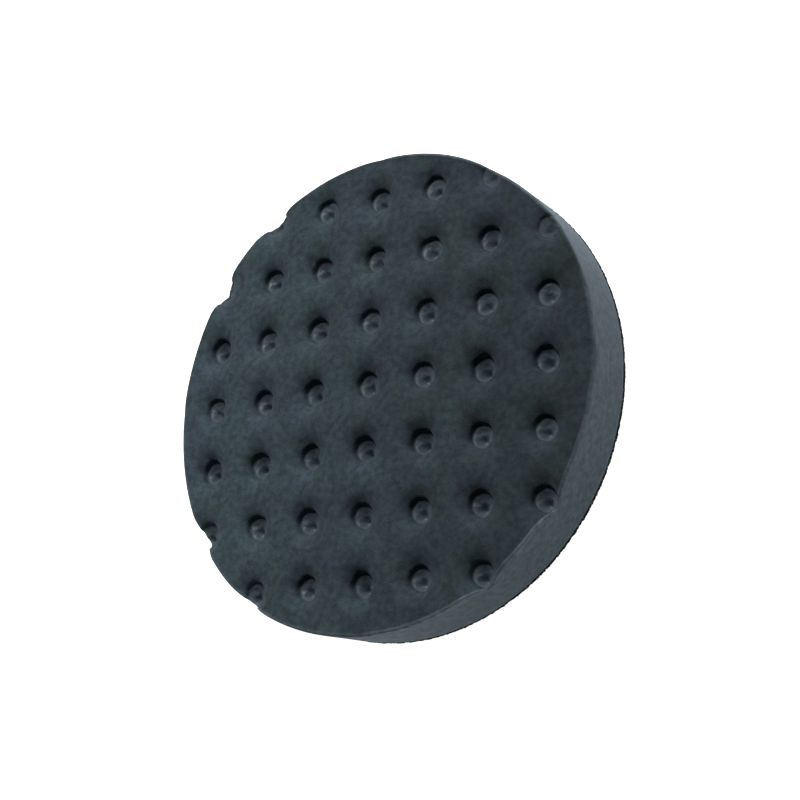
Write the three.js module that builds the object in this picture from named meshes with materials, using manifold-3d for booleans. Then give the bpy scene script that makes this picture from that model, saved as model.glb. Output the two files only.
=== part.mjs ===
// Foam polishing pad for a car polisher, as a three.js scene graph.
//
// The pad is a laminate. From the back it is a loop pile knitted into a thin ground cloth, a hot-melt
// film, and a thick disc of open-cell polyurethane foam. A plate of heated pins is pressed into the foam
// sheet before the disc is cut from it, so a square grid of pockets covers the face, and the rim runs
// through the outermost ones and leaves notches. The foam springs back between the pins, so the face is
// slightly crowned.
//
// Millimetres, +Z up. The origin is the centre of the loop face that grips the backing plate, and +Z
// points out of the polishing face.

import * as THREE from "three";
import { mergeVertices } from "three/addons/utils/BufferGeometryUtils.js";
import Module from "manifold-3d";

// ---- Driving dimensions ----

// The whole pad
const PAD_DIAMETER = 190.5; // at its widest, just under the face's rounded edge
const PAD_THICKNESS = 31.5; // loop face to the top of the crown
const CROWN_RISE = 4.5; // how far the middle of the face stands above its edge
const EDGE_RADIUS = 1.3; // rounding where the face meets the wall
const WALL_TAPER = 1.25; // how much less the foam's radius is at the back

// The laminate behind the foam
const PILE_HEIGHT = 1.1; // loops that the hooks catch
const CLOTH_THICKNESS = 0.5; // knitted ground that the loops grow from
const FILM_THICKNESS = 0.3; // hot-melt film between cloth and foam
const CLOTH_INSET = 0.3; // the cloth and film end this far inside the foam's back edge

// The pinned pockets
const PIN_PITCH = 25.4; // square grid
const PIN_OFFSET_X = -1.95; // the die isn't quite centred on the middle pin
const PIN_OFFSET_Y = 0.8;
const DISH_RADIUS = 12.4; // foam drawn down around a pocket
const MOUTH_RADIUS = 5.6; // where the dish turns into the pocket's wall
const MOUTH_DEPTH = 2.55; // below the face
const FLOOR_RADIUS = 4.7; // fused floor
const FLOOR_DEPTH = 4.75; // edge of the floor, below the face
const FLOOR_SAG = 2.6; // the floor is that much deeper in its middle

// How finely round shapes are faceted
const RIM_SEGMENTS = 64;
const POCKET_SEGMENTS = 10;
const CROWN_STEPS = 4;
const EDGE_STEPS = 3;
const DISH_STEPS = 3;
const FLOOR_STEPS = 2;

// ---- Sizes that follow ----

const padRadius = PAD_DIAMETER / 2;
const backRadius = padRadius - WALL_TAPER;
const clothRadius = backRadius - CLOTH_INSET;
const clothLevel = PILE_HEIGHT;
const filmLevel = clothLevel + CLOTH_THICKNESS;
const foamLevel = filmLevel + FILM_THICKNESS;
// The crown is part of a sphere with its centre on the axis.
const crownRadius = (padRadius ** 2 + CROWN_RISE ** 2) / (2 * CROWN_RISE);
const crownCentre = PAD_THICKNESS - crownRadius;

// ---- Solids ----

const wasm = await Module();
wasm.setup();

// A geometry as a closed manifold-3d solid.
function solid(geometry) {
  const bare = geometry.clone();
  bare.deleteAttribute("normal");
  bare.deleteAttribute("uv");
  const merged = mergeVertices(bare, 1e-4);
  const mesh = new wasm.Mesh({
    numProp: 3,
    vertProperties: merged.attributes.position.array,
    triVerts: new Uint32Array(merged.index.array),
  });
  return new wasm.Manifold(mesh);
}

// A manifold-3d solid as a geometry.
function geometryOf(made) {
  const mesh = made.getMesh();
  const geometry = new THREE.BufferGeometry();
  geometry.setAttribute("position", new THREE.BufferAttribute(mesh.vertProperties, 3));
  geometry.setIndex(new THREE.BufferAttribute(mesh.triVerts, 1));
  geometry.computeVertexNormals();
  return geometry;
}

// A profile of radius and height, turned about Z.
function turned(points, segments) {
  return new THREE.LatheGeometry(points, segments).rotateX(Math.PI / 2);
}

// A flat disc that stands on a level.
function disc(radius, thickness, level) {
  const flat = new THREE.CylinderGeometry(radius, radius, thickness, RIM_SEGMENTS);
  return flat.rotateX(Math.PI / 2).translate(0, 0, level + thickness / 2);
}

// Points along an arc, from one angle to another, both ends included.
function arc(centre, radius, from, to, steps) {
  return Array.from({ length: steps + 1 }, (_, i) => {
    const angle = from + ((to - from) * i) / steps;
    return new THREE.Vector2(
      centre.x + radius * Math.cos(angle),
      centre.y + radius * Math.sin(angle),
    );
  });
}

// ---- Foam disc ----

// The uncut disc: a tapered wall, a rounded edge that is tangent to the wall and to the crown, and the crown.
function foamBlank() {
  const edge = new THREE.Vector2(padRadius - EDGE_RADIUS, 0);
  edge.y = crownCentre + Math.sqrt((crownRadius - EDGE_RADIUS) ** 2 - edge.x ** 2);
  const tangent = Math.atan2(edge.y - crownCentre, edge.x);
  const crown = new THREE.Vector2(0, crownCentre);
  const crownPoints = arc(crown, crownRadius, tangent, Math.PI / 2, CROWN_STEPS);
  crownPoints[CROWN_STEPS].x = 0;
  return turned(
    [
      new THREE.Vector2(0, foamLevel),
      new THREE.Vector2(backRadius, foamLevel),
      ...arc(edge, EDGE_RADIUS, 0, tangent, EDGE_STEPS),
      ...crownPoints.slice(1),
    ],
    RIM_SEGMENTS,
  );
}

// The dish around a pocket, from the mouth out to the face. It flattens outwards, so its points stand closer
// together near the mouth.
function dishPoints() {
  return Array.from({ length: DISH_STEPS + 1 }, (_, i) => {
    const share = (i / DISH_STEPS) ** 1.4;
    const radius = MOUTH_RADIUS + (DISH_RADIUS - MOUTH_RADIUS) * share;
    return new THREE.Vector2(radius, -MOUTH_DEPTH * (1 - share) ** 2.4);
  });
}

// The sagging floor, from its middle out to its edge.
function floorPoints() {
  return Array.from({ length: FLOOR_STEPS + 1 }, (_, i) => {
    const share = i / FLOOR_STEPS;
    const sag = FLOOR_SAG * (1 - share ** 2) ** 1.8;
    return new THREE.Vector2(FLOOR_RADIUS * share, -FLOOR_DEPTH - sag);
  });
}

// What one pin takes out of the foam, with the face at height 0. Above the face it flares, to clear the crown.
function pocketCutter() {
  const above = MOUTH_DEPTH;
  return turned(
    [
      ...floorPoints(),
      ...dishPoints(),
      new THREE.Vector2(DISH_RADIUS + above, above),
      new THREE.Vector2(0, above),
    ],
    POCKET_SEGMENTS,
  );
}

// Where the pins meet the face: every grid point inside the rim, on the crown, square to it.
function pinPlaces() {
  const reach = Math.ceil(padRadius / PIN_PITCH);
  const places = [];
  for (let row = -reach; row <= reach; row += 1) {
    for (let column = -reach; column <= reach; column += 1) {
      const x = column * PIN_PITCH + PIN_OFFSET_X;
      const y = row * PIN_PITCH + PIN_OFFSET_Y;
      if (Math.hypot(x, y) < padRadius) {
        const z = crownCentre + Math.sqrt(crownRadius ** 2 - x ** 2 - y ** 2);
        places.push(new THREE.Vector3(x, y, z));
      }
    }
  }
  return places;
}

function foamDisc() {
  const cutter = pocketCutter();
  const up = new THREE.Vector3(0, 0, 1);
  const crown = new THREE.Vector3(0, 0, crownCentre);
  const cuts = pinPlaces().map((place) => {
    const square = place.clone().sub(crown).normalize();
    const tilt = new THREE.Quaternion().setFromUnitVectors(up, square);
    return solid(cutter.clone().applyQuaternion(tilt).translate(place.x, place.y, place.z));
  });
  const pins = cuts.reduce((all, cut) => all.add(cut));
  return geometryOf(solid(foamBlank()).subtract(pins));
}

// ---- The assembly ----

const foam = new THREE.MeshStandardMaterial({ color: 0x343e43, roughness: 0.92, metalness: 0 });
const hotMelt = new THREE.MeshStandardMaterial({ color: 0x5a5a52, roughness: 0.45, metalness: 0 });
const knit = new THREE.MeshStandardMaterial({ color: 0x1c1e21, roughness: 0.85, metalness: 0 });
const loops = new THREE.MeshStandardMaterial({ color: 0x24272b, roughness: 0.8, metalness: 0 });

const pad = new THREE.Group();

function place(name, geometry, material) {
  const mesh = new THREE.Mesh(geometry, material);
  mesh.name = name;
  pad.add(mesh);
}

place("loop_pile", disc(clothRadius, PILE_HEIGHT, 0), loops);
place("backing_cloth", disc(clothRadius, CLOTH_THICKNESS, clothLevel), knit);
place("adhesive_film", disc(clothRadius, FILM_THICKNESS, filmLevel), hotMelt);
place("foam_disc", foamDisc(), foam);

export default pad;
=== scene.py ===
# %% [markdown]
# # A foam polishing pad
#
# This is the soft disc that a car polisher spins against the paint. It is a laminate: thick fine-celled
# foam, a film of hot glue, a knitted cloth, and the loops that grow from the cloth and catch the hooks
# of the machine's plate.
#
# The foam is built here in the order in which a workshop makes it. A plate of hot pins is pressed into a
# flat sheet of foam. A round die cuts the disc straight through whatever pins it meets. Then the foam
# springs back between the pins, and the cut edge goes soft. Doing it in that order gives the notches in
# the rim for nothing, wherever the die met a pin.

# %% Load the frame
import math
import random

import bmesh
import bpy
from mathutils import Euler, Matrix, Vector, noise


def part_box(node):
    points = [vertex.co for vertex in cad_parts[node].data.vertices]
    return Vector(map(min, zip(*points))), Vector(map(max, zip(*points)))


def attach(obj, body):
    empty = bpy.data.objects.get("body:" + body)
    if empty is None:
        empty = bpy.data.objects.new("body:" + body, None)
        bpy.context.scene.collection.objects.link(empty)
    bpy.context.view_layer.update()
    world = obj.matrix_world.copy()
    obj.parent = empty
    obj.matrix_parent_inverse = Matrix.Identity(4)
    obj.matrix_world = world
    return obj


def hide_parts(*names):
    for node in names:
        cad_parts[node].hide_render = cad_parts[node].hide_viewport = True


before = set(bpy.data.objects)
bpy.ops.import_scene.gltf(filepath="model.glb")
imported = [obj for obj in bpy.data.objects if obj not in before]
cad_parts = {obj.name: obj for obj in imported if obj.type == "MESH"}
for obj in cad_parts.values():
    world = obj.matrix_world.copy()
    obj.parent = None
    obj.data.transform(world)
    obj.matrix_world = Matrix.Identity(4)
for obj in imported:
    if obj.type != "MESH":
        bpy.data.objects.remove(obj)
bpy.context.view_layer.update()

# %% [markdown]
# ## Sizes
#
# Everything is worked out in millimetres, because that is how a pad is specified, and each mesh is scaled
# to metres as its last step. The frame gives how wide the foam and the cloth are, and at what level each
# layer lies. The rest, such as how high the crown stands and how a pin leaves the foam, is a number here.

# %% Sizes in millimetres
MM = 0.001


def level(node, side):
    """The height of a node's underside (side 0) or top (side 1), in millimetres."""
    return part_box(node)[side][2] / MM


def half_width(node):
    """How far a round node reaches from the axis, in millimetres."""
    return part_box(node)[1][0] / MM


rim_radius = half_width("foam_disc")
cloth_radius = half_width("backing_cloth")
foam_bottom = level("foam_disc", 0)
film_bottom = level("adhesive_film", 0)
cloth_bottom = level("backing_cloth", 0)
pile_bottom = level("loop_pile", 0)

PIN_PITCH = 25.6  # the pin plate's square grid of one inch, and a hair that the sheet has stretched
PIN_OFFSET = (-1.95, 0.8)  # the die isn't quite centred on the middle pin
PAD_TOP = 31.5  # top of the crown, as if no pin stood there
CROWN_RISE = 4.5  # middle of the face above its edge
WALL_TAPER = 1.25  # smaller radius at the back
EDGE_RADIUS = 0.9  # how round the die-cut edge has sprung
crown_radius = (rim_radius**2 + CROWN_RISE**2) / (2 * CROWN_RISE)
print(f"rim {rim_radius:.1f} mm, foam from {foam_bottom:.1f} mm up, crown radius {crown_radius:.0f} mm")

# %% [markdown]
# ## The camera
#
# The camera stands to the right of the pad and above it, about three quarters of a metre away, and leans
# to its left, so that the pad's wall shows on the right and along the bottom. A longish lens keeps the disc
# from bulging towards us. It is set up first, because every shape below is judged through it.

# %% Camera
CAMERA_PLACE = (0.4011, -0.2038, 0.5854)
CAMERA_TURN = (17.757, 34.122, 2.795)
LENS = 84.55

camera_data = bpy.data.cameras.new("camera")
camera_data.lens = LENS
camera = bpy.data.objects.new("camera", camera_data)
camera.location = CAMERA_PLACE
camera.rotation_euler = Euler([math.radians(a) for a in CAMERA_TURN])
bpy.context.collection.objects.link(camera)
bpy.context.scene.camera = camera
print(f"camera {Vector(CAMERA_PLACE).length:.3f} m from the pad's back")

# %% [markdown]
# ## How a hot pin leaves the foam
#
# A pin melts the cells that it squashes, so the foam under it stays down as a small round cup with a fused
# skin. Around the cup, the foam is still springy but is held down at the cup's edge, like cloth round a
# button. It rises steeply at first and then flattens out, which makes a wide dish. The cup itself has a
# short wall, and a floor that sags in the middle and goes deepest where the heel of the pin's tip pressed.
#
# So the surface's height is the crown, less what the nearest pin takes away: the dish, the cup's wall, the
# sag and the heel, then a small tilt, and wrinkles in the fused skin. One function gives that height for
# any point of the pad, and every vertex is put there. No two pins press quite alike, so each has its own
# small error of place, depth and tilt, from a seeded draw. Where the die cuts close to a pin, the foam is
# freed on that side and springs back, so that cup is shallower.

# %% The pressed surface
DISH_RADIUS = 13.0  # foam drawn down around a cup
DISH_DEPTH = 3.4
DISH_CURVE = 2.5  # a higher power is steeper near the cup and flatter far from it
FLOOR_RADIUS = 4.7  # the pin's own radius
LEDGE_WIDTH = 0.9  # the cup's wall, between the floor and the dish
LEDGE_DEPTH = 1.35
LEDGE_CURVE = 1.5
BOWL_DEPTH = 1.85  # the floor sags by this much
BOWL_CURVE = 1.8
HEEL_RADIUS = 3.2  # the pins press a little harder on one side of their tips
HEEL_DEPTH = 2.3
HEEL_OFFSET = (-0.2, -1.8)
WRINKLE, WRINKLE_SIZE = 0.3, 1.7  # the fused skin of the floor isn't smooth
SKIN_FADE = (0.9, 0.2)  # the skin thins out from the one to the other, measured inwards from the cup's edge
WOBBLE, WOBBLE_SIZE = 0.09, 3.5  # how far from round the cups and dishes are
SWELL, SWELL_SIZE = 0.22, 16  # the sliced sheet was never quite even

FREED = 4.4  # a cup this near to the die's cut, or nearer, is freed on that side
FREED_SHARE = (0.5, 0.95)  # and so keeps only some share of its depth
FREED_SKIN = 0.3  # and looks less fused

PLACE_ERROR = 0.3  # each pin stands off its place by up to this much, both ways
DEPTH_ERROR = (0.86, 1.14)  # and goes in by a share between these
LEAN = 0.06  # and slopes by up to this much

draw = random.Random(4482)
GRID_REACH = 4  # rows of tiles on each side of the middle one
pins = {}
for row in range(-GRID_REACH, GRID_REACH + 1):
    for column in range(-GRID_REACH, GRID_REACH + 1):
        middle = (column * PIN_PITCH + PIN_OFFSET[0], row * PIN_PITCH + PIN_OFFSET[1])
        freed = math.hypot(*middle) > rim_radius - FREED
        pin = {
            "x": middle[0] + draw.uniform(-PLACE_ERROR, PLACE_ERROR),
            "y": middle[1] + draw.uniform(-PLACE_ERROR, PLACE_ERROR),
            "depth": draw.uniform(*DEPTH_ERROR),
        }
        kept = draw.uniform(*FREED_SHARE)
        pin["depth"] *= kept if freed else 1.0
        pin["skin"] = FREED_SKIN if freed else 1.0
        pin["lean_x"] = draw.uniform(-LEAN, LEAN)
        pin["lean_y"] = draw.uniform(-LEAN, LEAN)
        pins[column, row] = pin


def ease(low, high, value):
    """0 below low, 1 above high, and a smooth step between them."""
    share = min(max((value - low) / (high - low), 0.0), 1.0)
    return share * share * (3 - 2 * share)


def uneven(across, up, size, layer):
    """Smooth random unevenness between -1 and 1, with bumps of about that size. Each layer differs."""
    return noise.noise(Vector((across / size, up / size, layer)))


def pressed_depth(across, up):
    """How far the pins hold the foam down at a point, and how fused it is there, from 0 to 1."""
    column = round((across - PIN_OFFSET[0]) / PIN_PITCH)
    row = round((up - PIN_OFFSET[1]) / PIN_PITCH)
    pin = pins[column, row]
    dx, dy = across - pin["x"], up - pin["y"]
    wobble = 1 + WOBBLE * uneven(across, up, WOBBLE_SIZE, 3)
    distance = math.hypot(dx, dy) * wobble
    share = min(max(distance - FLOOR_RADIUS, 0) / (DISH_RADIUS - FLOOR_RADIUS), 1)
    dish = (1 - share) ** DISH_CURVE
    ledge = 1 - min(max(distance - FLOOR_RADIUS, 0) / LEDGE_WIDTH, 1)
    bowl = max(1 - (distance / FLOOR_RADIUS) ** 2, 0) ** BOWL_CURVE
    heel = 1 - ease(0, HEEL_RADIUS, math.hypot(dx - HEEL_OFFSET[0], dy - HEEL_OFFSET[1]))
    skin = 1 - ease(FLOOR_RADIUS - SKIN_FADE[0], FLOOR_RADIUS - SKIN_FADE[1], distance)
    cup = LEDGE_DEPTH * ledge**LEDGE_CURVE + BOWL_DEPTH * bowl + HEEL_DEPTH * heel
    tilt = dish * (dx * pin["lean_x"] + dy * pin["lean_y"])
    wrinkle = WRINKLE * skin * uneven(across, up, WRINKLE_SIZE, 7)
    depth = pin["depth"] * (DISH_DEPTH * dish + cup) + tilt + wrinkle
    return depth, skin * pin["skin"]


def face_height(across, up):
    """The height of the finished face at a point: the crown, its swell, and the pins' marks."""
    crown = PAD_TOP - crown_radius + math.sqrt(crown_radius**2 - across**2 - up**2)
    swell = SWELL * uneven(across, up, SWELL_SIZE, 0)
    return crown + swell - pressed_depth(across, up)[0]


heels = [(pin["x"] + HEEL_OFFSET[0], pin["y"] + HEEL_OFFSET[1]) for pin in pins.values()]
depths = [pressed_depth(*heel)[0] for heel in heels]
print(f"{len(pins)} pins, cups {min(depths):.1f} to {max(depths):.1f} mm deep at the heel")

# %% [markdown]
# ## The pin plate's sheet
#
# One pin's share of the sheet is a square tile. It could be cut from a fine square grid, but square faces
# make a ragged circle. Here it is made of rings round the pin instead: a small disc is extruded outwards
# ring by ring, closer together where the surface bends more, and the last ring is stretched out to the
# tile's square edge. Neighbouring tiles then share their edge points, and weld into one sheet.

# %% One tile, from its pin outwards
RING_POINTS = 48
RINGS = [0.3, 0.6, 0.9, 1.2, 1.5, 1.9, 2.3, 2.7, 3.1, 3.5, 3.9, 4.3, 4.55, 4.7]
RINGS += [4.8, 4.95, 5.15, 5.4, 5.7, 6.1, 6.6, 7.3, 8.3, 9.6, 11.2]
TILE_WELD = 0.01  # tiles weld where their points are nearer than this


def open_edges(bm):
    return [edge for edge in bm.edges if edge.is_boundary]


def add_ring(bm):
    """Extrudes the open edge of a sheet and gives back the new ring's vertices."""
    grown = bmesh.ops.extrude_edge_only(bm, edges=open_edges(bm))["geom"]
    return [part for part in grown if isinstance(part, bmesh.types.BMVert)]


def on_square(vertex, half):
    """Slides a vertex of a ring out to a square, with the same share of the ring on each side."""
    angle = math.atan2(vertex.co.y, vertex.co.x)
    quarter = round(angle / (math.pi / 2))
    along = (angle - quarter * math.pi / 2) / (math.pi / 4)
    turn = Matrix.Rotation(quarter * math.pi / 2, 3, "Z")
    return turn @ Vector((half, half * along, 0))


tile_mesh = bpy.data.meshes.new("tile")
tile = bmesh.new()
bmesh.ops.create_circle(tile, cap_ends=True, cap_tris=True, segments=RING_POINTS, radius=RINGS[0])
for inner, outer in zip(RINGS, RINGS[1:]):
    ring = add_ring(tile)
    bmesh.ops.scale(tile, vec=(outer / inner, outer / inner, 1), verts=ring)
for vertex in add_ring(tile):
    vertex.co = on_square(vertex, PIN_PITCH / 2)
tile.to_mesh(tile_mesh)
tile_points = len(tile.verts)
tile.free()
print(f"a tile has {tile_points} points and {len(tile_mesh.polygons)} faces")

# %% Tiles laid side by side
places = []
for column, row in pins:
    nearest = [max(abs(place) * PIN_PITCH - PIN_PITCH / 2, 0) for place in (column, row)]
    if math.hypot(*nearest) < rim_radius:
        places.append((column, row))

foam = bmesh.new()
for _ in places:
    foam.from_mesh(tile_mesh)
foam.verts.ensure_lookup_table()
for number, vertex in enumerate(foam.verts):
    column, row = places[number // tile_points]
    pin = pins[column, row]
    # The rings follow their own pin's error, the outer ones less and less, and the tile's edge not at all.
    follow = 1 - ease(RINGS[-4], PIN_PITCH / 2, max(abs(vertex.co.x), abs(vertex.co.y)))
    middle = (column * PIN_PITCH + PIN_OFFSET[0], row * PIN_PITCH + PIN_OFFSET[1])
    vertex.co.x += middle[0] + follow * (pin["x"] - middle[0])
    vertex.co.y += middle[1] + follow * (pin["y"] - middle[1])
bmesh.ops.remove_doubles(foam, verts=foam.verts, dist=TILE_WELD)
print(f"a sheet of {len(places)} tiles, {len(foam.faces)} faces")
bpy.data.meshes.remove(tile_mesh)

# %% [markdown]
# ## The die
#
# A round die cuts the disc out of the sheet. A Boolean could do it, but leaves long thin faces at the rim.
# Here the die is a ring of straight cuts, each a bisect that throws away what lies outside it. With enough
# of them the outline is round, and the sheet's faces stay clean right up to it. A soft sheet never comes
# out of the die quite round, so each cut stands a little further out or in. The disc is cut at the inner
# side of its edge. The edge itself, a small curled lip and then a soft rounding, is added next.

# %% Die-cut the disc
DIE_CUTS = 144
CUT_MARGIN = 8  # each cut works only on what lies beyond it or this close behind it
RIM_WELD = 0.25  # the shortest edge that is left along the rim
# The cut isn't quite round: in these directions, the face is fuller by so much over such a spread.
BULGES = ((232, 1.4, 46), (54, -0.8, 26), (92, -0.35, 28), (170, -0.4, 42))
LIP = ((0.3, 0.06, 0.4), (0.6, 0.15, 0.9))  # the cut edge curls up: how far out, up, and how torn, which also sets its painted highlight
cut_radius = rim_radius - EDGE_RADIUS - LIP[-1][0]


def fuller(angle):
    """How far the face's edge bulges past a true circle in this direction."""
    past = 0.0
    for at, by, spread in BULGES:
        away = abs((math.degrees(angle) - at + 180) % 360 - 180)
        past += by * (1 - ease(0, spread, away))
    return past


for number in range(DIE_CUTS):
    angle = 2 * math.pi * number / DIE_CUTS
    outwards = Vector((math.cos(angle), math.sin(angle), 0))
    near = [v for v in foam.verts if v.co.dot(outwards) > cut_radius - CUT_MARGIN]
    edges = {edge for v in near for edge in v.link_edges}
    faces = {face for v in near for face in v.link_faces}
    bmesh.ops.bisect_plane(
        foam,
        geom=[*{v for f in faces for v in f.verts}, *edges, *faces],
        plane_co=outwards * (cut_radius + fuller(angle)),
        plane_no=outwards,
        clear_outer=True,
    )
rim = {v for edge in open_edges(foam) for v in edge.verts}
bmesh.ops.remove_doubles(foam, verts=list(rim), dist=RIM_WELD)
print(f"cut to {cut_radius:.1f} mm, {len(open_edges(foam))} edges round the rim")

# %% [markdown]
# ## Springing back
#
# Now the flat disc gets its heights, and its edge is added ring by ring outside the cut. The first rings
# curl up a little, where the blade has dragged the cells along, and the others go down a quarter circle.
# Each ring takes the height that the pressed surface would have there, plus its own rise or less its drop,
# so where the die went through a pin, the edge rolls down into the notch as well. The wall then drops to
# the back in a few rings, and the back is closed.
#
# Two numbers go with every point, for the material to read: how fused the skin is, and how torn and
# highlit.

# %% Height, soft edge and wall
FRAYED_AND_HIGHLIT = (1.0, 1.0, 1.0, 0.8, 0.5)  # how far the die has torn the cells of each ring, and so how much painted highlight it gets
# The wall is painted a little paler as well, partly for its torn cells and partly as painted light.
WALL_FRAYED_AND_LIT = 0.15
TORN_HIGHLIGHT_SHARE = 0.6  # the edge is torn, and painted with a highlight, in patches: this much on average
TORN_HIGHLIGHT_SIZE, TORN_HIGHLIGHT_LAYER = 28, 26.5  # how large the patches are, and which layer of unevenness they follow: this one puts the painted highlight along the lower right
WALL_FUSED = 0.35  # how much of the skin's fusing goes on down the upper half of the wall
WALL_WAVE, WAVE_LENGTH, WAVE_RISE = 0.15, 20, 12  # the wall isn't quite even, round the pad and upwards
BACK_TUCK = 0.2  # the back's edge is tucked in
WALL_SHARES = [0.06, 0.16, 0.3, 0.48, 0.66, 0.84, 0.96, 1.0]


def reach_out(vertex, radius):
    """Moves a vertex along its own radius to that distance from the axis."""
    scale = radius / math.hypot(vertex.co.x, vertex.co.y)
    vertex.co.x *= scale
    vertex.co.y *= scale


fused = foam.verts.layers.float.new("fused")
frayed_and_highlit = foam.verts.layers.float.new("frayed_and_highlit")
for vertex in foam.verts:
    vertex[fused] = pressed_depth(vertex.co.x, vertex.co.y)[1]
    vertex.co.z = face_height(vertex.co.x, vertex.co.y)

edge_rings = list(LIP)  # how far out, how far up, and how torn and highlit each one is
for step, torn_and_highlit in enumerate(FRAYED_AND_HIGHLIT, 1):
    angle = math.pi / 2 * step / len(FRAYED_AND_HIGHLIT)
    out = LIP[-1][0] + EDGE_RADIUS * math.sin(angle)
    edge_rings.append((out, LIP[-1][1] - EDGE_RADIUS * (1 - math.cos(angle)), torn_and_highlit))
for out, raised, torn_and_highlit in edge_rings:
    for vertex in add_ring(foam):
        bulge = fuller(math.atan2(vertex.co.y, vertex.co.x))
        reach_out(vertex, cut_radius + bulge + out)
        vertex.co.z = face_height(vertex.co.x, vertex.co.y) + raised
        vertex[fused] = pressed_depth(vertex.co.x, vertex.co.y)[1]
        patch = TORN_HIGHLIGHT_SHARE + uneven(vertex.co.x, vertex.co.y, TORN_HIGHLIGHT_SIZE, TORN_HIGHLIGHT_LAYER)
        vertex[frayed_and_highlit] = torn_and_highlit * min(max(patch, 0), 1)

done = 0.0
for share in WALL_SHARES:
    for vertex in add_ring(foam):
        left = (1 - share) / (1 - done)
        vertex.co.z = foam_bottom + (vertex.co.z - foam_bottom) * left
        wave = WALL_WAVE * uneven(vertex.co.x, vertex.co.y, WAVE_LENGTH, vertex.co.z / WAVE_RISE)
        bulge = fuller(math.atan2(vertex.co.y, vertex.co.x))
        tuck = BACK_TUCK * ease(0.9, 1.0, share)
        reach_out(vertex, rim_radius - WALL_TAPER * share + (bulge + wave) * (1 - share) - tuck)
        vertex[fused] *= WALL_FUSED if share < 0.5 else 0.0
        # the wall's paler colour, partly painted light
        vertex[frayed_and_highlit] = WALL_FRAYED_AND_LIT
    done = share
bmesh.ops.edgeloop_fill(foam, edges=open_edges(foam))
bmesh.ops.recalc_face_normals(foam, faces=foam.faces)
bmesh.ops.scale(foam, vec=(MM, MM, MM), verts=foam.verts)
for face in foam.faces:
    face.smooth = len(face.verts) < 10  # all but the flat back, which is one face with many corners

foam_mesh = bpy.data.meshes.new("foam")
foam.to_mesh(foam_mesh)
open_left = len(open_edges(foam))
foam.free()
foam_disc = bpy.data.objects.new("pressed_foam_disc", foam_mesh)
bpy.context.collection.objects.link(foam_disc)
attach(foam_disc, "root")
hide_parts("foam_disc")
print(f"foam: {len(foam_mesh.vertices)} points, {len(foam_mesh.polygons)} faces, {open_left} open edges")

# %% [markdown]
# ## The layers behind the foam
#
# Behind the foam come three thin layers. The hot-melt film and the knitted cloth are discs, each spun from
# its own half section. Their edges are trimmed soft material, so they wander a little.

# %% Film and cloth
DISC_STEPS = 192
CHAMFER = 0.1
TRIM_SIZE = 9  # how long the trimmed edge's wanderings are
AXIS_WELD = 0.001  # closes the disc where its half section meets the axis


def spun_layer(name, radius, low, high, wander):
    """A thin disc between two levels, with an edge that wanders by up to wander."""
    bm = bmesh.new()
    corners = [(0, low), (radius * 0.5, low), (radius - CHAMFER, low), (radius, low + CHAMFER)]
    corners += [(radius, high - CHAMFER), (radius - CHAMFER, high), (radius * 0.5, high), (0, high)]
    section = [bm.verts.new((across, 0, up)) for across, up in corners]
    edges = [bm.edges.new(pair) for pair in zip(section, section[1:])]
    bmesh.ops.spin(
        bm,
        geom=section + edges,
        axis=(0, 0, 1),
        cent=(0, 0, 0),
        angle=2 * math.pi,
        steps=DISC_STEPS,
        use_merge=True,
    )
    bmesh.ops.remove_doubles(bm, verts=bm.verts, dist=AXIS_WELD)
    bmesh.ops.recalc_face_normals(bm, faces=bm.faces)
    for vertex in bm.verts:
        out = math.hypot(vertex.co.x, vertex.co.y)
        if out > radius * 0.9:
            reach_out(vertex, out + wander * uneven(vertex.co.x, vertex.co.y, TRIM_SIZE, 5))
    bmesh.ops.scale(bm, vec=(MM, MM, MM), verts=bm.verts)
    mesh = bpy.data.meshes.new(name)
    bm.to_mesh(mesh)
    bm.free()
    layer = bpy.data.objects.new(name, mesh)
    bpy.context.collection.objects.link(layer)
    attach(layer, "root")
    print(f"{name}: {len(mesh.polygons)} faces, {high - low:.1f} mm thick")
    return layer


film = spun_layer("hot_melt_film", cloth_radius, film_bottom, foam_bottom, 0.25)
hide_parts("adhesive_film")
cloth = spun_layer("knitted_cloth", cloth_radius, cloth_bottom, film_bottom, 0.2)
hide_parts("backing_cloth")

# %% [markdown]
# ## The loops
#
# The pile is thousands of tiny nylon loops, knitted in rows. A single loop is a half ring of yarn, made by
# spinning a three-sided section through half a turn in four steps, so it costs only 14 faces. It is copied
# once for every stitch, and then each copy is turned, leaned and moved to its own stitch. Round the cloth's
# trimmed edge, two close rows of them hide the cloth from the side. Real loops stand closer, perhaps
# a millimetre apart. These stand at two and a half, so that each one can have a real shape.

# %% Loop pile
YARN_RADIUS = 0.2
LOOP_RADIUS = 0.72
STITCH_PITCH = 2.55
EDGE_PITCH = 0.42  # closer round the trimmed edge, where the loops are seen from the side
EDGE_ROWS = (0.0, -0.5)  # how far past the cloth's edge each of these rows stands
EDGE_CLEAR = 2.0  # the knitted rows stop this far inside it
STITCH_ERROR = 0.3
LOOP_LEANS = (0.3, 0.2)  # across the loop and along it, in radians
LOOP_SIZES = (0.85, 1.0)
ROOT_DEPTH = 0.1  # how far a loop's ends go into the cloth

loop = bmesh.new()
bmesh.ops.create_circle(loop, cap_ends=False, segments=3, radius=YARN_RADIUS)
bmesh.ops.rotate(loop, cent=(0, 0, 0), matrix=Matrix.Rotation(math.pi / 6, 3, "Z"), verts=loop.verts)
bmesh.ops.translate(loop, vec=(LOOP_RADIUS, 0, 0), verts=loop.verts)
bmesh.ops.spin(
    loop,
    geom=loop.verts[:] + loop.edges[:],
    axis=(0, 1, 0),
    cent=(0, 0, 0),
    angle=math.pi,
    steps=4,
)
bmesh.ops.holes_fill(loop, edges=open_edges(loop), sides=4)
bmesh.ops.recalc_face_normals(loop, faces=loop.faces)
loop_points = len(loop.verts)
loop_mesh = bpy.data.meshes.new("loop")
loop.to_mesh(loop_mesh)
loop.free()

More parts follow.
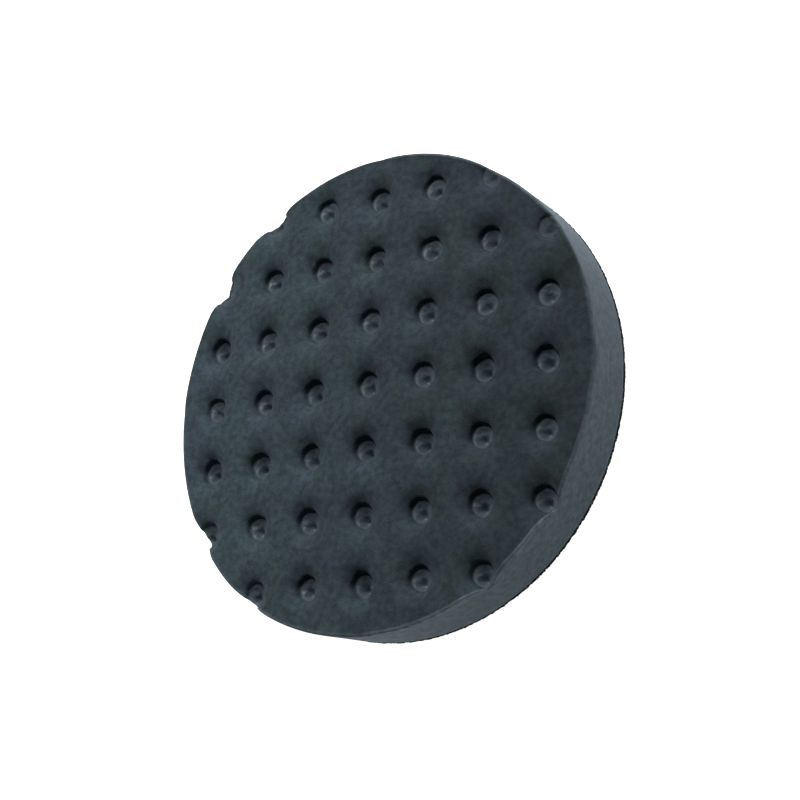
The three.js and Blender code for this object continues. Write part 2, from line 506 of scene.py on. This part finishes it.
stitches = []
reach = int(cloth_radius / STITCH_PITCH)
for row in range(-reach, reach + 1):
    for column in range(-reach, reach + 1):
        across = (column + 0.5 * (row % 2)) * STITCH_PITCH + draw.uniform(-STITCH_ERROR, STITCH_ERROR)
        up = row * STITCH_PITCH + draw.uniform(-STITCH_ERROR, STITCH_ERROR)
        if math.hypot(across, up) < cloth_radius - EDGE_CLEAR:
            stitches.append((across, up, draw.uniform(0, math.pi)))
edge_stitches = round(2 * math.pi * cloth_radius / EDGE_PITCH)
for row, past in enumerate(EDGE_ROWS):
    for number in range(edge_stitches):
        angle = 2 * math.pi * (number + row / 2) / edge_stitches
        out = cloth_radius + past
        stitches.append((out * math.cos(angle), out * math.sin(angle), angle + math.pi / 2))

pile = bmesh.new()
for _ in stitches:
    pile.from_mesh(loop_mesh)
bpy.data.meshes.remove(loop_mesh)
pile_height = cloth_bottom - pile_bottom
moves = []
for across, up, heading in stitches:
    leans = [draw.uniform(-lean, lean) for lean in LOOP_LEANS]
    turn = Euler((*leans, heading))
    size = draw.uniform(*LOOP_SIZES)
    moves.append((turn.to_matrix(), size, across, up))
tall = pile_height / (LOOP_RADIUS + YARN_RADIUS)
for number, vertex in enumerate(pile.verts):
    turn, size, across, up = moves[number // loop_points]
    loop_point = turn @ Vector((vertex.co.x, vertex.co.y, vertex.co.z * tall)) * size
    height = min(max(cloth_bottom + loop_point.z, pile_bottom), cloth_bottom + ROOT_DEPTH)
    vertex.co = Vector((across + loop_point.x, up + loop_point.y, height)) * MM
for face in pile.faces:
    face.smooth = True
pile_mesh = bpy.data.meshes.new("pile")
pile.to_mesh(pile_mesh)
pile.free()
loops = bpy.data.objects.new("loop_pile_yarn", pile_mesh)
bpy.context.collection.objects.link(loops)
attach(loops, "root")
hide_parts("loop_pile")
print(f"{len(stitches)} loops, {sum(len(p.vertices) - 2 for p in pile_mesh.polygons)} triangles")

# %% [markdown]
# ## Colours and nodes
#
# Colours are picked as sRGB hex values, as on a paint chart, and turned to the linear values that the
# renderer works in. One small function adds a node with its settings and its links.

# %% Helpers for materials
def linear(hex_colour):
    """An sRGB colour such as "4b5c65" as a linear RGBA."""
    channels = [int(hex_colour[i : i + 2], 16) / 255 for i in (0, 2, 4)]
    return [c / 12.92 if c <= 0.04045 else ((c + 0.055) / 1.055) ** 2.4 for c in channels] + [1.0]


def add_node(tree, kind, settings=None, links=None):
    """Adds a node, sets its properties or input values, and links outputs of other nodes to its inputs."""
    node = tree.nodes.new(kind)
    for name, value in (settings or {}).items():
        if isinstance(name, str) and hasattr(node, name):
            setattr(node, name, value)
        else:
            node.inputs[name].default_value = value
    for name, source in (links or {}).items():
        tree.links.new(source, node.inputs[name])
    return node


def new_material(name, shader_settings):
    """A material with an empty tree but for its shader and its output."""
    material = bpy.data.materials.new(name)
    material.use_nodes = True
    tree = material.node_tree
    tree.nodes.clear()
    shader = add_node(tree, "ShaderNodeBsdfPrincipled", shader_settings)
    add_node(tree, "ShaderNodeOutputMaterial", links={"Surface": shader.outputs["BSDF"]})
    return material, tree, shader


def per_metre(millimetres):
    """The scale of a pattern whose cells are that many millimetres across."""
    return 1 / (millimetres * MM)


# %% [markdown]
# ## Polyurethane foam
#
# The foam is open-cell polyurethane, dyed slate all through and sliced from a block. A sliced face is a
# felt of broken cell walls, each a speck of light or shade, so it has no gloss, and it lightens towards a
# grazing view as cloth does. Real finishing foam has cells under half a millimetre across. They are drawn
# at 0.8 mm here, because finer ones would melt into plain grey.
#
# The dye has taken unevenly, with clouds in it, and it leans to green in places and to violet in others.
# Over that, the colour is painted paler on the left than on the right, as painted light and shade. The torn
# cells along the cut show as a paler line, partly a painted highlight, and the wall is painted a little
# paler, partly as painted light. Where a pin fused the foam, its skin is smoother, so it hides the specks
# and is a little shiny.

# %% Foam material
CELL = 0.8  # drawn cell size
SPECK = 2.6
CLOUD = 20
TINT_PATCH = 15
# The body colour's two ends serve both the dye's clouds and the painted shade, from a paler left to a
# darker right.
DEEP_DYE_AND_SHADE, PALE_DYE_AND_LIGHT = "242e31", "4b5c65"
VIOLET_TINT, GREEN_TINT = "f9f6ff", "f8fff0"
DARK_SPECK, PALE_SPECK = "c4c4c4", "ffffff"
# The torn edge's paler colour is partly a painted highlight along the cut.
TORN_EDGE_HIGHLIGHT = "62727a"
FUSED_SKIN = "47545c"
PAINTED_SHADE_WAY = (1.0, 0.2, 0)  # the way in which the painted shade gets deeper: the face is painted darker towards the right
PAINTED_SHADE_REACH = 0.1  # metres each way from the middle
PAINTED_SHADE_SHARE = 0.8  # how much of the colour's unevenness is this painted shade, and the rest is clouds in the dye
foam_material, tree, shader = new_material(
    "polyurethane_foam",
    {"IOR": 1.5, "Specular IOR Level": 0.45, "Sheen Weight": 0.15, "Sheen Roughness": 0.45},
)
shader.inputs["Sheen Tint"].default_value = linear("a9bfd0")
spot = add_node(tree, "ShaderNodeTexCoord").outputs["Object"]
cells = add_node(
    tree,
    "ShaderNodeTexVoronoi",
    {"Scale": per_metre(CELL), "Randomness": 1.0},
    {"Vector": spot},
)
specks = add_node(
    tree,
    "ShaderNodeTexNoise",
    {"Scale": per_metre(SPECK), "Detail": 3.0, "Roughness": 0.6},
    {"Vector": spot},
)
clouds = add_node(
    tree,
    "ShaderNodeTexNoise",
    {"Scale": per_metre(CLOUD), "Detail": 3.0, "Roughness": 0.5},
    {"Vector": spot},
)
cloud_share = add_node(
    tree,
    "ShaderNodeMapRange",
    {"From Min": 0.3, "From Max": 0.7},
    {"Value": clouds.outputs["Fac"]},
)
# Painted light and shade: the face's colour is made paler on the left and darker on the right.
painted_shade_place = add_node(
    tree,
    "ShaderNodeVectorMath",
    {"operation": "DOT_PRODUCT", 1: PAINTED_SHADE_WAY},
    {0: spot},
)
painted_shade = add_node(
    tree,
    "ShaderNodeMapRange",
    {"From Min": -PAINTED_SHADE_REACH, "From Max": PAINTED_SHADE_REACH, "To Min": 1.0, "To Max": 0.0},
    {"Value": painted_shade_place.outputs["Value"]},
)
tone = add_node(
    tree,
    "ShaderNodeMix",
    {"data_type": "FLOAT", 0: PAINTED_SHADE_SHARE},
    {2: cloud_share.outputs["Result"], 3: painted_shade.outputs["Result"]},
)
tints = add_node(
    tree,
    "ShaderNodeTexNoise",
    {"noise_dimensions": "4D", "W": 4.0, "Scale": per_metre(TINT_PATCH), "Detail": 1.0},
    {"Vector": spot},
)
tint_share = add_node(
    tree,
    "ShaderNodeMapRange",
    {"From Min": 0.35, "From Max": 0.65},
    {"Value": tints.outputs["Fac"]},
)
fused_skin = add_node(tree, "ShaderNodeAttribute", {"attribute_name": "fused"}).outputs["Fac"]
body = add_node(
    tree,
    "ShaderNodeMix",
    {"data_type": "RGBA", 6: linear(DEEP_DYE_AND_SHADE), 7: linear(PALE_DYE_AND_LIGHT)},
    {0: tone.outputs[0]},
)
tint = add_node(
    tree,
    "ShaderNodeMix",
    {"data_type": "RGBA", 6: linear(VIOLET_TINT), 7: linear(GREEN_TINT)},
    {0: tint_share.outputs["Result"]},
)
dyed_and_shaded = add_node(
    tree,
    "ShaderNodeMix",
    {"data_type": "RGBA", "blend_type": "MULTIPLY", 0: 1.0},
    {6: body.outputs[2], 7: tint.outputs[2]},
)
speck_share = add_node(
    tree,
    "ShaderNodeMapRange",
    {"From Min": 0.35, "From Max": 0.65},
    {"Value": specks.outputs["Fac"]},
)
# Painted highlight: the torn cells' paler colour also stands in for light caught along the cut edge.
torn_edge_highlight = add_node(tree, "ShaderNodeAttribute", {"attribute_name": "frayed_and_highlit"}).outputs["Fac"]
edged_and_highlit = add_node(
    tree,
    "ShaderNodeMix",
    {"data_type": "RGBA", 7: linear(TORN_EDGE_HIGHLIGHT)},
    {0: torn_edge_highlight, 6: dyed_and_shaded.outputs[2]},
)
speck_colour = add_node(
    tree,
    "ShaderNodeMix",
    {"data_type": "RGBA", 6: linear(DARK_SPECK), 7: linear(PALE_SPECK)},
    {0: speck_share.outputs["Result"]},
)
speckled = add_node(
    tree,
    "ShaderNodeMix",
    {"data_type": "RGBA", "blend_type": "MULTIPLY", 0: 1.0},
    {6: edged_and_highlit.outputs[2], 7: speck_colour.outputs[2]},
)
skinned = add_node(
    tree,
    "ShaderNodeMix",
    {"data_type": "RGBA", 7: linear(FUSED_SKIN)},
    {0: fused_skin, 6: speckled.outputs[2]},
)
tree.links.new(skinned.outputs[2], shader.inputs["Base Color"])
gloss = add_node(
    tree,
    "ShaderNodeMapRange",
    {"To Min": 1.0, "To Max": 0.52},
    {"Value": fused_skin},
)
tree.links.new(gloss.outputs["Result"], shader.inputs["Roughness"])
cell_bump = add_node(
    tree,
    "ShaderNodeBump",
    {"Strength": 0.25, "Distance": 0.3 * MM},
    {"Height": cells.outputs["Distance"]},
)
tree.links.new(cell_bump.outputs["Normal"], shader.inputs["Normal"])
foam_mesh.materials.append(foam_material)

# %% [markdown]
# ## Film, knit and yarn
#
# Hot-melt film is a satin plastic, dark grey here. The knit and its loops are black nylon. Nylon yarn
# shines softly along its length, which at this size reads as a faint sheen.

# %% Materials of the thin layers
film_material, tree, shader = new_material("hot_melt_film", {"IOR": 1.5, "Roughness": 0.45})
spot = add_node(tree, "ShaderNodeTexCoord").outputs["Object"]
streaks = add_node(
    tree, "ShaderNodeTexNoise", {"Scale": per_metre(3), "Detail": 2.0}, {"Vector": spot}
)
film_tone = add_node(
    tree,
    "ShaderNodeMix",
    {"data_type": "RGBA", 6: linear("25282a"), 7: linear("34373a")},
    {0: streaks.outputs["Fac"]},
)
tree.links.new(film_tone.outputs[2], shader.inputs["Base Color"])
film.data.materials.append(film_material)

WAVE_RATE = 20  # the wave node turns by 20 radians in each unit of its scale
NYLON = {"IOR": 1.53, "Roughness": 0.75, "Specular IOR Level": 0.25, "Sheen Weight": 0.03}
knit_material, tree, shader = new_material("knitted_nylon", NYLON)
spot = add_node(tree, "ShaderNodeTexCoord").outputs["Object"]
wales = add_node(
    tree,
    "ShaderNodeTexWave",
    {
        "bands_direction": "X",
        "Scale": per_metre(1.2) / WAVE_RATE,
        "Distortion": 1.5,
        "Detail": 1.0,
    },
    {"Vector": spot},
)
knit_tone = add_node(
    tree,
    "ShaderNodeMix",
    {"data_type": "RGBA", 6: linear("0e1012"), 7: linear("1a1d20")},
    {0: wales.outputs["Fac"]},
)
tree.links.new(knit_tone.outputs[2], shader.inputs["Base Color"])
knit_bump = add_node(
    tree,
    "ShaderNodeBump",
    {"Strength": 0.5, "Distance": 0.2 * MM},
    {"Height": wales.outputs["Fac"]},
)
tree.links.new(knit_bump.outputs["Normal"], shader.inputs["Normal"])
cloth.data.materials.append(knit_material)

yarn_material, tree, shader = new_material("nylon_yarn", NYLON)
spot = add_node(tree, "ShaderNodeTexCoord").outputs["Object"]
fibres = add_node(
    tree, "ShaderNodeTexNoise", {"Scale": per_metre(2), "Detail": 1.0}, {"Vector": spot}
)
yarn_tone = add_node(
    tree,
    "ShaderNodeMix",
    {"data_type": "RGBA", 6: linear("101214"), 7: linear("1e2225")},
    {0: fibres.outputs["Fac"]},
)
tree.links.new(yarn_tone.outputs[2], shader.inputs["Base Color"])
loops.data.materials.append(yarn_material)

# %% [markdown]
# ## Floor and light
#
# The pad lies on a plain pale floor that glows, as on a light table. The sky over it is nearly dark, so the
# floor lights the pad's wall, and the wall looks lighter than the face. A broad key light stands straight
# behind the pad, about fifty degrees up. It brings out the cups and lights the far side of the rim. A
# weaker and lower light on the right brushes the wall there.

# %% Floor
FLOOR_SIZE = 6  # metres from its middle to its edge
FLOOR_GLOW = 1.1
floor_bm = bmesh.new()
bmesh.ops.create_grid(floor_bm, x_segments=1, y_segments=1, size=FLOOR_SIZE)
floor_mesh = bpy.data.meshes.new("floor")
floor_bm.to_mesh(floor_mesh)
floor_bm.free()
floor = bpy.data.objects.new("floor", floor_mesh)
bpy.context.collection.objects.link(floor)
floor_material, tree, shader = new_material(
    "white_cove",
    {"Roughness": 0.9, "Emission Strength": FLOOR_GLOW},
)
shader.inputs["Base Color"].default_value = linear("e8e8e8")
shader.inputs["Emission Color"].default_value = linear("ffffff")
floor_mesh.materials.append(floor_material)

# %% Lights and colour
SKY = 0.03
world = bpy.data.worlds.new("sky")
world.use_nodes = True
background = world.node_tree.nodes["Background"]
background.inputs["Color"].default_value = linear("f7faff")
background.inputs["Strength"].default_value = SKY
bpy.context.scene.world = world


def softbox(name, bearing, height, distance, size, power, colour):
    """A square light that faces the pad: its bearing and height are angles seen from the pad's middle."""
    light = bpy.data.lights.new(name, "AREA")
    light.size = size
    light.energy = power
    light.color = linear(colour)[:3]
    lamp = bpy.data.objects.new(name, light)
    bearing, height = math.radians(bearing), math.radians(height)
    flat = math.cos(height)
    direction = Vector((flat * math.cos(bearing), flat * math.sin(bearing), math.sin(height)))
    lamp.location = direction * distance
    lamp.rotation_euler = direction.to_track_quat("Z", "Y").to_euler()
    bpy.context.collection.objects.link(lamp)
    print(f"{name} at {[round(v, 2) for v in lamp.location]} m")


softbox("key", bearing=92, height=52, distance=2.5, size=1.1, power=58.0, colour="ffffff")
softbox("side", bearing=45, height=4, distance=1.0, size=0.6, power=7.0, colour="e8edff")

bpy.context.scene.view_settings.view_transform = "Standard"
